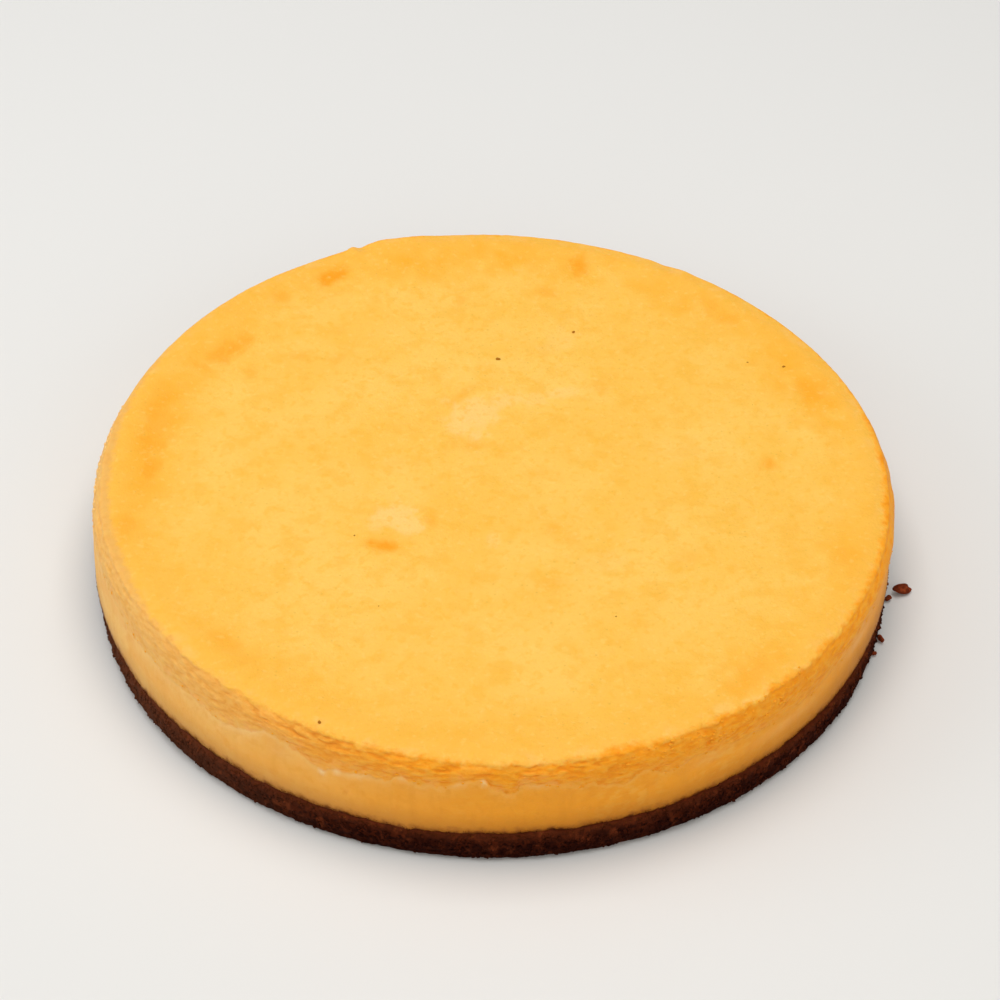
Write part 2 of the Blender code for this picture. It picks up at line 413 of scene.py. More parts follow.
def raggedness(angle):
    """How rough the torn skin is round the cake: most at the front, least at the back."""
    return 0.25 + 0.75 * blend(108.0 - angle_gap(angle, ROUGHEST), 8.0, 44.0)


def wall_lean(height):
    """How far the wall stands outside its nominal radius: out at the foot, in at the torn edge."""
    share = clamp01((height - FOOT_HEIGHT) / (TORN_HEIGHT - FOOT_HEIGHT))
    return FOOT_SPREAD - (FOOT_SPREAD + WALL_DRAW) * share


def seam_height(angle):
    """How far the ragged seam between crumb and custard lies above or below its mean height."""
    around = on_wall(angle)
    fine = 0.45 * grain(around, 8, 11) + 0.50 * grain(around, 2.4, 12)
    return MM * (lobe_sum(SEAM_LOBES, angle) + fine)


def marks(points, places, seed, crisp=0.0):
    """Marks on the top, each an oval with a ragged edge. The strongest one counts."""
    ragged = 1.0 + 0.5 * grain(points, 4.5, seed) + 0.5 * grain(points, 1.9, seed + 1)
    total = np.zeros(len(points))
    for x, y, long, wide, turn, strength in places:
        across = points[:, 0] - x * MM
        along = points[:, 1] - y * MM
        cosine, sine = math.cos(math.radians(turn)), math.sin(math.radians(turn))
        away = np.hypot((across * cosine + along * sine) / (long * MM),
                        (along * cosine - across * sine) / (wide * MM))
        soft = np.exp(-0.8 * (away * ragged) ** 2)
        plateau = blend(1.25 - away * ragged, 0.0, 0.55)
        total = np.maximum(total, strength * (soft + crisp * (plateau - soft)))
    return total


def band_relief(points, angle, height):
    """Relief of the torn band in millimetres: flat flakes, fine grain and thin cracks."""
    crumbly = clamp01(lobe_sum(CRUMBLY, angle))
    flakes = stepped(grain(points, (4.2, 4.2, 1.1), 21), 3.0)
    small = grain(points, (1.8, 1.8, 0.8), 22)
    blots = grain(points, (3.2, 3.2, 2.4), 18) + 0.7 * grain(points, 1.3, 17)
    calm = 1.0 - 0.5 * blend(angle_gap(angle, FLAKIEST), 34.0, 60.0)
    relief = calm * (0.26 - 0.10 * crumbly) * flakes
    relief = relief + (0.23 - 0.06 * crumbly) * small + 0.28 * crumbly * blots

    # The cracks run along the side, and they are deepest just under the rim.
    crack = np.exp(-(grain(points, (5.5, 5.5, 1.3), 23) / 0.13) ** 2)
    crack = crack * blend(grain(points, 6, 24), -0.3, 0.4) * (1.0 - 0.6 * crumbly)
    high = np.exp(-((CAKE_HEIGHT - height - 2.4 * MM) / (1.5 * MM)) ** 2)
    shallow = 1.0 - 0.65 * blend(angle_gap(angle, DEEPEST), 22.0, 46.0)
    return relief - crack * (0.12 + 0.28 * high) * shallow


def wall_shape(points, angle, height, border):
    """Outward moves and colours' guides for the side, below and above the torn edge."""
    above = height - border
    ragged = raggedness(angle)
    around = on_wall(angle)
    share_up = clamp01(above / (RIM_HEIGHT - border))
    torn = blend(above, -0.2 * MM, 0.9 * MM)

    # Where little was torn away, the band stays nearly level with the wall under it.
    level = 0.55 + 0.35 * blend(angle_gap(angle, DEEPEST), 24.0, 44.0)
    level = level + 0.45 * grain(around, 7, 20)
    step = np.interp(above / MM, (-0.3, 0.1, 0.5, 1.1), (0.0, 0.18, 0.35, TORN_DEPTH / MM)) * MM
    move = step * clamp01(level) * (1.0 - share_up)

    # The band's relief, with a few hollows just above the torn edge.
    hollow = 0.22 * clamp01(lobe_sum(HOLLOWS, angle)) * (1.0 - blend(above, 1.0 * MM, 3.0 * MM))
    relief = band_relief(points, angle, height) - hollow
    relief = torn * (ragged * relief + 0.05 * grain(points, 1.2, 25))
    move = move + MM * relief

    # The smooth wall: slow waves, faint upright ribs, a few small holes, and a lip in places.
    wall = 1.0 - torn
    lip = np.exp(-((above + 0.4 * MM) / (0.7 * MM)) ** 2)
    holes = blend(0.09 - cells(points, 9, 28), 0.0, 0.05)
    smooth = 0.18 * grain(points, 15, 26) + 0.07 * grain(points, 3, 27) - 0.25 * holes
    smooth = smooth + 0.06 * grain(around, 2, 19) + lip * ragged * 0.30 * grain(around, 3, 29)
    move = move + wall * MM * smooth
    return move, relief, above, holes * wall


def rim_shape(angle, inside):
    """Outward and upward moves of the rim: small teeth, chips and tips, most at the front."""
    around = on_wall(angle)
    near = np.exp(-(inside / (1.5 * MM)) ** 2) * raggedness(angle)
    near = near * (1.0 + 0.8 * clamp01(lobe_sum(CRUMBLY, angle)))
    teeth = 0.40 * grain(around, 3.6, 30) + 0.45 * grain(around, 1.6, 31)
    chips = 0.26 * grain(around, 2.8, 32) + 0.18 * grain(around, 1.5, 33)
    edge_share = np.exp(-(inside / (2.2 * MM)) ** 2)
    tips = edge_share * (lobe_sum(RIM_TIPS, angle) - 0.2)
    return near * MM * 0.75 * teeth, MM * (near * chips + tips)


def skin_edge(angle):
    """How far the tan skin's edge wanders in and out over the rim, in millimetres."""
    around = on_wall(angle)
    wavy = 0.60 * grain(around, 5, 34) + 0.45 * grain(around, 1.9, 35)
    return wavy * (1.0 + 0.9 * clamp01(lobe_sum(CRUMBLY, angle)))


def top_shape(points, angle, inset):
    """Guides for the top's marks and browned ring, and its upward moves."""
    browned = marks(points, BROWNED_MARKS, 40, 0.25)
    pale = marks(points, PALE_MARKS, 42, 0.75)
    patchy = 0.55 + 0.60 * grain(points, 10, 44) + 0.50 * grain(points, 4.2, 45)
    ring = (0.22 + lobe_sum(BROWNED_RING, angle)) * clamp01(patchy) * np.exp(
        -((inset - 11.5 * MM) / (9.0 * MM)) ** 2)
    swells = 0.18 * grain(points, 30, 47) + 0.08 * grain(points, 9, 48)
    swells = swells + 0.04 * grain(points, 2.4, 49)
    return browned, pale, ring, MM * (swells - 0.15 * pale - 0.28 * browned)


def solid_shape(radius, angle, height, across):
    """Outward and upward moves that the solid has too: outline, rim, tilt and level."""
    upward = blend(height, SWELL_FLOOR, RIM_HEIGHT)
    edge = blend(radius, FLAT_RADIUS, TOP_RADIUS)
    outline = wave_sum(OUTLINE_WAVES, angle) + upward * wave_sum(RIM_WAVES, angle)
    level = edge * (wave_sum(LEVEL_WAVES, angle) + lobe_sum(RIM_SWELLINGS, angle))
    return radius / WALL_RADIUS * outline, upward * (TOP_SLOPE * across + level)


def pale_lips(angle, height, above_edge):
    """Guide for the pale flecks on the torn edge, partly painted highlight, and the pale streaks of the
    smooth wall.
    """
    lip = lobe_sum(PALE_LIPS, angle) * np.exp(-((above_edge + 0.2 * MM) / (0.6 * MM)) ** 2)
    for centre, wide, tall, strength in PALE_STREAKS:
        streak = lobe_sum(((centre, wide, strength),), angle)
        lip += streak * np.exp(-((height / MM - tall) / 2.0) ** 2)
    return lip


def custard_mesh():
    """The filling before its relief: wall and rim drawn up from a ring, foot and top closed."""
    profile = custard_profile()
    piece = ring_of_edges("custard", *profile[0], RING_STEPS)
    draw_up(profile)
    select_ring(piece, *profile[0])
    close_disc((0.97, 0.8, 0.45))
    close_with_grid(GRID_RADIUS, CAKE_HEIGHT)
    leave_edit()
    return piece


def make_custard():
    """The baked filling: smooth lower wall, torn upper band, ragged rim and mottled top."""
    piece = custard_mesh()
    points = read_points(piece)
    radius, angle = polar(points)
    height = points[:, 2].copy()
    on_top = (radius < TOP_RADIUS + 0.05 * MM) & (height > CAKE_HEIGHT - 0.05 * MM)
    under = (height < FOOT_HEIGHT) & (radius < WALL_RADIUS - 1.0 * MM)
    side = ~on_top & ~under
    height = np.where(on_top, top_height(radius), height)
    wander, move, relief, holes, lift, wavy, browned, pale, ring, seam = np.zeros((10, len(angle)))
    above_edge = np.full_like(angle, FAR_AWAY)

    # The torn edge wanders up and down, and the rings above and below it share the shift.
    wander[side] = torn_edge(angle[side])
    below = clamp01((height - FOOT_HEIGHT) / (TORN_HEIGHT - FOOT_HEIGHT))
    above = clamp01((RIM_HEIGHT - height) / (RIM_HEIGHT - TORN_HEIGHT))
    height = height + side * wander * np.where(height < TORN_HEIGHT, below, above)
    place = from_polar(radius, angle, height)
    move[side], relief[side], above_edge[side], holes[side] = wall_shape(
        place[side], angle[side], height[side], TORN_HEIGHT + wander[side])

    # The rim: a soft shoulder with small teeth, roughest at the front.
    inside = np.where(on_top, TOP_RADIUS - radius, np.minimum(height - CAKE_HEIGHT, 0.0))
    rim = np.abs(inside) < 6.0 * MM
    outward, lift[rim] = rim_shape(angle[rim], inside[rim])
    move[rim] += outward

    # Where the tan skin reaches over the top, the rim is rolled down a little.
    rolled = lobe_sum(SHOULDERS, angle)
    wavy[rim] = skin_edge(angle[rim])
    inward = clamp01(1.0 - inside / ((1.7 * rolled + 1.0) * MM))
    upto = clamp01((height - TORN_HEIGHT) / (RIM_HEIGHT - TORN_HEIGHT))
    lift -= 0.08 * MM * rolled * np.where(on_top, inward ** 2, upto) * ~under

    # The top: low swells, fine mottling, and marks that dip a little.
    browned[on_top], pale[on_top], ring[on_top], swells = top_shape(
        place[on_top], angle[on_top], inside[on_top])
    lift[on_top] += swells

    # Outline, rim and level, as in the solid, and the foot follows the ragged seam.
    outward, upward = solid_shape(radius, angle, height, points[:, 0])
    seam[side] = seam_height(angle[side])
    foot = seam * (1.0 - blend(height, FOOT_HEIGHT, FOOT_HEIGHT + 4.0 * MM))
    lifted = np.where(under, FOOT_HEIGHT, height + lift + foot + upward)
    write_points(piece, from_polar(radius + outward + move, angle, lifted))

    guides = {
        "above_edge": above_edge / MM,
        "above_foot": np.where(side, height - FOOT_HEIGHT + SKIRT, FAR_AWAY) / MM,
        "inside_rim": inside / MM,
        "past_shoulder": inside / MM - rolled - wavy,
        "wan": clamp01(lobe_sum(WAN, angle)),
        "foot_shade": clamp01(lobe_sum(FOOT_SHADE, angle)),
        "crumbly": clamp01(lobe_sum(CRUMBLY, angle)),
        "lip": pale_lips(angle, height, above_edge),
        "relief": relief, "holes": holes, "browned": browned, "pale": pale, "ring": ring,
    }
    for name, values in guides.items():
        paint(piece, name, values)
    return piece


# The crumb base.

def base_outline(angle):
    """How far the crumb base's wall lies outside the custard's plain wall."""
    waves = BASE_FLARE + wave_sum(OUTLINE_WAVES, angle) + wave_sum(BASE_WAVES, angle)
    return waves - lobe_sum(BASE_TUCKS, angle)


def crumb_profile():
    """Radius and height up the crumb base's wall, and in over its top."""
    points = [(WALL_RADIUS - 0.5 * MM, 0.0)]
    for height in np.linspace(0.4 * MM, BASE_HEIGHT - 0.4 * MM, CRUMB_RINGS):
        points.append((WALL_RADIUS + 0.4 * MM * math.sin(math.pi * height / BASE_HEIGHT), height))
    points.append((WALL_RADIUS - 0.2 * MM, BASE_HEIGHT - 0.1 * MM))
    points.append((WALL_RADIUS - 0.5 * MM, BASE_HEIGHT))
    for inset in (0.9, 1.4, 2.2, 4.0, 30.0):
        points.append((WALL_RADIUS - inset * MM, BASE_HEIGHT))
    return points


def make_crumb_base():
    """The pressed chocolate crumb: a lumpy, pitted wall with a ragged upper edge."""
    profile = crumb_profile()
    piece = ring_of_edges("chocolate_base", *profile[0], CRUMB_STEPS)
    draw_up(profile)
    close_disc(())
    select_ring(piece, *profile[0])
    close_disc((0.98, 0.7))
    leave_edit()

    points = read_points(piece)
    radius, angle = polar(points)
    height = points[:, 2].copy()
    moved, lifted = radius.copy(), height.copy()
    outer = radius > WALL_RADIUS - 5.0 * MM
    wall = points[outer]
    rim = blend(radius[outer], WALL_RADIUS - 3.0 * MM, WALL_RADIUS)
    clear = blend(height[outer], 0.0, 1.2 * MM)
    lumps = 0.34 * grain(wall, 5, 51) + 0.34 * cloudy(wall, 2.2, 52)
    crumbs = 0.60 * (0.5 - cells(wall, 1.7, 53)) + 0.30 * (0.5 - cells(wall, 0.95, 54))
    moved[outer] += rim * MM * (lumps + crumbs) * (0.35 + 0.65 * clear)
    moved += radius / WALL_RADIUS * base_outline(angle)
    top_edge = blend(height[outer], BASE_HEIGHT - 4.0 * MM, BASE_HEIGHT) * rim
    teeth = 0.25 + 0.35 * grain(wall, 1.8, 55) + 0.30 * grain(wall, 0.9, 56)
    lifted[outer] += top_edge * (seam_height(angle[outer]) + MM * teeth)
    lifted = np.where(height < HAIR, 0.0, lifted)
    write_points(piece, from_polar(moved, angle, lifted))
    return piece


# Small loose things.

def lump_shape(detail, seed):
    """One small lump, as arrays of points and faces. It is about 1 across."""
    bpy.ops.object.select_all(action="DESELECT")
    bpy.ops.mesh.primitive_ico_sphere_add(subdivisions=detail, radius=0.5)
    lump = bpy.context.object
    points = read_points(lump)
    faces = np.array([list(face.vertices) for face in lump.data.polygons])
    points = points * (1.0 + 0.5 * grain(points, 450, seed))[:, None]
    bpy.data.objects.remove(lump, do_unlink=True)
    return points, faces


def scatter(name, shapes, places):
    """One joined mesh of many lumps. A place is a point or None, three sizes and three turns."""
    all_points, all_faces, count = [], [], 0
    found = [place for place in places if place[0]]
    for index, (spot, size, turns) in enumerate(found):
        points, faces = shapes[index % len(shapes)]
        turn = Matrix.Rotation(turns[2], 3, "Z") @ Matrix.Rotation(turns[1], 3, "Y")
        turn = turn @ Matrix.Rotation(turns[0], 3, "X")
        all_points.append((points * np.array(size)) @ np.array(turn).T + np.array(spot))
        all_faces.append(faces + count)
        count += len(points)
    data = bpy.data.meshes.new(name)
    data.from_pydata(np.concatenate(all_points).tolist(), [], np.concatenate(all_faces).tolist())
    data.update()
    piece = bpy.data.objects.new(name, data)
    bpy.context.collection.objects.link(piece)
    piece.data.shade_smooth()
    return piece


def any_turn(rng):
    return [rng.uniform(0.0, 2.0 * math.pi) for _ in range(3)]


def on_side(pieces, angle, height):
    """The outermost point of the side at an angle and a height above the floor."""
    way = Vector((math.cos(angle), math.sin(angle), 0.0))
    start = 1.2 * WALL_RADIUS * way + Vector((0.0, 0.0, height))
    casts = [piece.ray_cast(start, -way) for piece in pieces]
    spots = [spot for found, spot, _, _ in casts if found]
    return max(spots, key=lambda spot: spot.dot(way), default=None)


def clinging_crumbs(pieces, shapes):
    """Grains of chocolate crumb that stand out of the base's wall."""
    rng = random.Random(5)
    places = []
    for _ in range(CLINGING_COUNT):
        angle = rng.uniform(0.0, 2.0 * math.pi)
        size = MM * rng.choice((0.45, 0.55, 0.7, 0.9, 1.2))
        spot = on_side(pieces, angle, rng.uniform(0.3 * MM + 0.5 * size, BASE_HEIGHT - 0.3 * MM))
        sizes = [size * rng.uniform(0.7, 1.2) for _ in range(3)]
        if spot:
            places.append((spot, sizes, any_turn(rng)))
    return scatter("clinging_crumbs", shapes, places)


def seam_dust(pieces, shapes):
    """Fine crumb that clings to the custard just above the seam, smaller and thinner higher up."""
    rng = random.Random(6)
    places = []
    for _ in range(DUST_COUNT):
        angle = rng.uniform(0.0, 2.0 * math.pi)
        seam = FOOT_HEIGHT + float(seam_height(np.array([angle]))[0])
        rise = rng.random() ** 2.0
        spot = on_side(pieces, angle, seam + MM * (1.5 * rise - 0.7))
        size = MM * rng.uniform(0.25, 0.6) * (1.0 - 0.6 * rise)
        if spot:
            places.append((spot, [size, size, 0.8 * size], any_turn(rng)))
    return scatter("seam_dust", shapes, places)


def flat_bit(pieces, rng, turn, height, size):
    """A flat bit that lies along the side, at an angle in degrees and a height, both in place."""
    angle = math.radians(turn)
    spot = on_side(pieces, angle, height + TOP_SLOPE * WALL_RADIUS * math.cos(angle))
    sizes = [size * MM * stretch for stretch in (rng.uniform(0.9, 1.5), 0.8, 0.7)]
    return spot, sizes, [0.0, 0.0, angle + 0.5 * math.pi]


def pale_bits(pieces, shapes):
    """The pale torn bits that stand out in a row at the left."""
    rng = random.Random(12)
    places = []
    for _ in range(PALE_BIT_COUNT):
        turn = rng.triangular(162.0, 190.0, 176.0)
        places.append(flat_bit(pieces, rng, turn, rng.uniform(19.0, 31.5) * MM, rng.uniform(0.6, 1.2)))
    return scatter("pale_bits", shapes, places)


def custard_bits(pieces, shapes):
    """Small bits of custard along the torn edge, and crumbs of it where the rim is worn."""
    rng = random.Random(13)
    places = []
    for _ in range(EDGE_BIT_COUNT):
        turn = rng.uniform(0.0, 360.0)
        height = TORN_HEIGHT + float(torn_edge(np.radians([turn]))[0]) + rng.uniform(-0.2, 0.7) * MM
        places.append(flat_bit(pieces, rng, turn, height, rng.uniform(0.3, 0.7)))
    for _ in range(RIM_BIT_COUNT):
        turn = rng.triangular(280.0, 335.0, 298.0)
        places.append(flat_bit(pieces, rng, turn, rng.uniform(26.5, 32.2) * MM, rng.uniform(0.5, 1.1)))
    return scatter("custard_bits", shapes, places)


def fallen_crumbs(shapes):
    """Crumbs that have dropped off and lie at the foot of the cake, at its right."""
    places = []
    for radius, degrees, long, wide, tall, turn in FALLEN_CRUMBS:
        angle = math.radians(degrees)
        spot = (radius * MM * math.cos(angle), radius * MM * math.sin(angle), 0.58 * tall * MM)
        places.append((spot, [long * MM, wide * MM, tall * MM], [0.1, 0.1, turn]))
    return scatter("fallen_crumbs", shapes, places)


def dark_specks(shapes):
    """Tiny dark bits baked into the top."""
    places = []
    for index, (x, y, size) in enumerate(DARK_SPECKS):
        height = float(top_height(math.hypot(x, y) * MM)) + TOP_SLOPE * x * MM
        spot = (x * MM, y * MM, height - 0.1 * size * MM)
        places.append((spot, [size * 1.4 * MM, size * 1.1 * MM, size * 0.8 * MM], [0.0, 0.0, index]))
    return scatter("dark_specks", shapes, places)


# Materials.

class Nodes:
    """Short ways to add and join shader nodes."""

    def __init__(self, name):
        self.material = bpy.data.materials.new(name)
        self.material.use_nodes = True
        self.tree = self.material.node_tree
        self.shader = self.tree.nodes["Principled BSDF"]
        self.place = self.add("ShaderNodeTexCoord").outputs["Object"]

    def add(self, kind, **settings):
        """A new node with its settings."""
        node = self.tree.nodes.new(kind)
        for key, value in settings.items():
            setattr(node, key, value)
        return node

    def feed(self, socket, value):
        """Link an output to a socket, or give the socket a plain value."""
        if isinstance(value, bpy.types.NodeSocket):
            self.tree.links.new(value, socket)
        else:
            socket.default_value = value

    def math(self, operation, first, second=0.0, clamp=False):
        node = self.add("ShaderNodeMath", operation=operation, use_clamp=clamp)
        self.feed(node.inputs[0], first)
        self.feed(node.inputs[1], second)
        return node.outputs[0]

    def times(self, *values):
        """The product of the values, kept between 0 and 1."""
        result = values[0]
        for value in values[1:]:
            result = self.math("MULTIPLY", result, value, clamp=True)
        return result

    def flip(self, value):
        """1 less the value."""
        return self.math("SUBTRACT", 1.0, value)

    def rise(self, value, low, high):
        """0 below low and 1 above high, with a smooth rise between."""
        node = self.add("ShaderNodeMapRange", interpolation_type="SMOOTHSTEP")
        self.feed(node.inputs["Value"], value)
        self.feed(node.inputs["From Min"], low)
        self.feed(node.inputs["From Max"], high)
        return node.outputs["Result"]

    def mix(self, share, first, second, strength=None):
        """The first colour mixed with a share of the second, at a strength."""
        if strength:
            share = self.times(share, strength)
        node = self.add("ShaderNodeMix", data_type="RGBA")
        for socket, value in ((0, share), (6, first), (7, second)):
            value = (*value, 1.0) if isinstance(value, tuple) else value
            self.feed(node.inputs[socket], value)
        return node.outputs[2]

    def noise(self, scale, detail=2.0, stretch=None):
        place = self.place
        if stretch:
            node = self.add("ShaderNodeMapping")
            self.feed(node.inputs["Vector"], place)
            self.feed(node.inputs["Scale"], stretch)
            place = node.outputs["Vector"]
        node = self.add("ShaderNodeTexNoise")
        self.feed(node.inputs["Vector"], place)
        self.feed(node.inputs["Scale"], scale)
        self.feed(node.inputs["Detail"], detail)
        return node.outputs["Fac"]

    def cells(self, scale, output="Distance"):
        node = self.add("ShaderNodeTexVoronoi")
        self.feed(node.inputs["Vector"], self.place)
        self.feed(node.inputs["Scale"], scale)
        return node.outputs[output]

    def axis(self, name):
        node = self.add("ShaderNodeSeparateXYZ")
        self.feed(node.inputs[0], self.place)
        return node.outputs[name]

    def left(self):
        """How far to the cake's left a point lies, in metres."""
        return self.math("MULTIPLY", self.axis("X"), -1.0)

    def jitter(self, scale, detail, size):
        """Noise about zero, which makes a border uneven."""
        centred = self.math("SUBTRACT", self.noise(scale, detail), 0.5)
        return self.math("MULTIPLY", centred, size)

    def painted(self, name):
        return self.add("ShaderNodeAttribute", attribute_name=name).outputs["Fac"]

    def gloss(self, roughness, shine):
        """How rough and how shiny the surface is."""
        self.shader.inputs["Roughness"].default_value = roughness
        self.shader.inputs["Specular IOR Level"].default_value = shine

    def bump(self, height, strength, distance):
        node = self.add("ShaderNodeBump")
        self.feed(node.inputs["Strength"], strength)
        self.feed(node.inputs["Distance"], distance)
        self.feed(node.inputs["Height"], height)
        self.feed(self.shader.inputs["Normal"], node.outputs["Normal"])


def top_color(n):
    """The mottled top: golden, more orange towards the rim, with marks and tiny pores."""
    slow = n.noise(34, 3)
    patches = n.noise(150, 4)
    fine = n.noise(900, 3)
    inside = n.painted("inside_rim")
    color = n.mix(n.rise(slow, 0.38, 0.64), (0.935, 0.52, 0.082), (0.935, 0.556, 0.108))
    edge = n.flip(n.rise(inside, 3, 16))
    color = n.mix(edge, color, (0.93, 0.48, 0.063), 0.75)
    color = n.mix(n.rise(patches, 0.48, 0.68), color, (0.895, 0.455, 0.048), 0.52)
    color = n.mix(n.rise(n.noise(60, 3), 0.5, 0.68), color, (0.905, 0.488, 0.058), 0.38)
    color = n.mix(n.painted("ring"), color, (0.93, 0.425, 0.03), 0.9)
    color = n.mix(n.painted("pale"), color, (0.95, 0.59, 0.175), 0.95)
    color = n.mix(n.painted("browned"), color, (0.93, 0.345, 0.01), 0.95)
    rim = n.flip(n.rise(inside, 1, 4.5))
    color = n.mix(n.times(rim, n.rise(n.noise(230, 3), 0.48, 0.66)), color, (0.94, 0.52, 0.135), 0.45)
    color = n.mix(n.rise(fine, 0.5, 0.72), color, (0.78, 0.43, 0.046), 0.2)
    color = n.mix(n.rise(n.noise(420, 3), 0.52, 0.7), color, (0.9, 0.455, 0.044), 0.5)
    color = n.mix(n.rise(n.noise(520, 3), 0.56, 0.74), color, (0.95, 0.62, 0.165), 0.3)
    pores = n.flip(n.rise(n.cells(330), 0.05, 0.15))
    many = n.rise(n.noise(26, 2), 0.42, 0.6)
    return n.mix(n.times(pores, many), color, (0.62, 0.33, 0.035), 0.3)


def wall_color(n, leftward, foot):
    """The smooth wall: paler at the left as painted light, pale under the torn edge, and darker down to
    its foot as painted shade with a little browning.
    """
    # Painted light: the wall turns paler and less orange towards the cake's left, where more light
    # falls.
    wall = n.mix(leftward, (0.935, 0.368, 0.022), (0.93, 0.535, 0.14))
    pale = n.times(n.rise(n.painted("above_edge"), -6, -0.6), n.painted("wan"), 0.75)
    wall = n.mix(pale, wall, n.mix(leftward, (0.95, 0.45, 0.085), (0.95, 0.56, 0.17)))
    wall = n.mix(n.rise(n.noise(110, 4), 0.42, 0.68), wall, (0.88, 0.345, 0.024), 0.34)
    wall = n.mix(n.rise(n.noise(380, 4), 0.48, 0.7), wall, (0.82, 0.315, 0.022), 0.26)
    ribs = n.rise(n.noise(300, 3, (1, 1, 0.25)), 0.5, 0.72)
    wall = n.mix(ribs, wall, n.mix(leftward, (0.8, 0.3, 0.016), (0.86, 0.44, 0.09)), 0.3)
    wall = n.mix(n.painted("holes"), wall, (0.72, 0.22, 0.014), 0.35)
    milky = n.times(n.rise(n.noise(330, 5, (1, 1, 1.6)), 0.46, 0.64), n.painted("crumbly"))
    wall = n.mix(milky, wall, (0.94, 0.48, 0.075), 0.42)
    warm = n.times(n.rise(n.noise(260, 4, (1, 1, 1.6)), 0.52, 0.66), n.painted("crumbly"))
    wall = n.mix(warm, wall, (0.85, 0.29, 0.008), 0.4)
    # Painted shade with a little browning: darker down to the foot, most where its lobes lie.
    shaded_brown = n.mix(leftward, (0.49, 0.172, 0.013), (0.6, 0.308, 0.085))
    low = n.flip(n.rise(foot, 1, 9.5))
    lower = n.flip(n.rise(foot, 0, 3.8))
    deep = n.times(n.flip(n.rise(foot, 3, 12)), n.painted("foot_shade"))
    wall = n.mix(low, wall, shaded_brown, 0.62)
    wall = n.mix(deep, wall, shaded_brown, 0.45)
    return n.mix(lower, wall, shaded_brown, 0.62)


def band_color(n, tan, fibres):
    """The torn band: painted shade in its orange hollows, painted light on its raised parts, yellow
    flakes, and fibres that run along the side.
    """
    above = n.painted("above_edge")
    relief = n.painted("relief")
    # Painted light: tan is the share by which the band turns paler towards the cake's left.
    band = n.mix(tan, (0.95, 0.345, 0.01), (0.865, 0.46, 0.112))
    low = n.flip(n.rise(above, 0.3, 4.5))
    low = n.times(low, n.math("ADD", n.math("MULTIPLY", n.painted("wan"), 0.4), 0.2))
    band = n.mix(low, band, n.mix(tan, (0.95, 0.425, 0.068), (0.9, 0.495, 0.125)))
    close = n.flip(n.rise(above, 1, 5))
    whole = n.flip(n.painted("crumbly"))
    cream = n.times(n.rise(n.noise(210, 4, (1, 1, 1.8)), 0.46, 0.62), close, whole)
    band = n.mix(cream, band, (0.94, 0.43, 0.115), 0.5)
    yellow = n.mix(tan, (0.95, 0.44, 0.042), (0.905, 0.545, 0.155))
    band = n.mix(n.rise(fibres, 0.44, 0.64), band, yellow, 0.54)
    dark = n.flip(n.rise(fibres, 0.34, 0.47))
    band = n.mix(dark, band, n.mix(tan, (0.86, 0.27, 0.006), (0.81, 0.385, 0.07)), 0.55)
    # Painted shade in the band's hollows and cracks, and painted light on its raised flakes.
    deep = n.rise(n.math("MULTIPLY", relief, -1), 0.02, 0.32)
    band = n.mix(deep, band, n.mix(tan, (0.9, 0.275, 0.005), (0.82, 0.385, 0.068)), 0.8)
    raised = n.rise(relief, 0.08, 0.3)
    band = n.mix(raised, band, (0.95, 0.49, 0.085), 0.45)
    blots = n.times(n.rise(n.noise(240, 4), 0.5, 0.64), n.painted("crumbly"))
    return n.mix(blots, band, (0.8, 0.245, 0.004), 0.45)


def side_color(n, fibres):
    """The side: smooth wall, torn band, pale flecks on the torn edge that are partly painted highlight,
    a stained foot, and painted light that pales it at the left.
    """
    left = n.left()
    foot = n.painted("above_foot")
    # These shares towards the left are painted light: the side is paler at the cake's left.
    wall = wall_color(n, n.rise(left, -0.01, 0.115), foot)
    band = band_color(n, n.rise(left, 0.008, 0.112), fibres)
    # Painted shade: the band darkens near the rim at the far left, where the shoulder rolls over.
    over = n.times(n.rise(n.painted("inside_rim"), -1, 0.6), n.rise(left, 0.06, 0.105))
    band = n.mix(over, band, (0.78, 0.4, 0.085), 0.55)
    shifted = n.math("ADD", n.painted("above_edge"), n.jitter(600, 4, 2.8))
    color = n.mix(n.rise(shifted, -0.2, 0.3), wall, band)
    border = n.times(n.rise(shifted, -1.8, -0.2), n.flip(n.rise(shifted, 0, 0.5)))
    rightward = n.rise(n.axis("X"), 0.03, 0.08)
    border = n.times(border, n.flip(n.math("MULTIPLY", rightward, 0.7)))
    # Painted light: the cream border is paler towards the cake's left.
    cream = n.mix(n.rise(left, -0.02, 0.06), (0.94, 0.46, 0.085), (0.95, 0.56, 0.17))
    color = n.mix(border, color, cream, 0.36)
    # Partly painted highlight: pale flecks of custard skin, paler where the torn edge catches the light.
    color = n.mix(n.painted("lip"), color, (0.955, 0.7, 0.37), 0.9)
    stain = n.math("ADD", foot, n.jitter(480, 5, 4.2))
    color = n.mix(n.flip(n.rise(stain, -0.1, 2.9)), color, (0.3, 0.085, 0.01), 0.8)
    return n.mix(n.flip(n.rise(stain, -0.4, 1.15)), color, (0.08, 0.018, 0.003), 0.88)


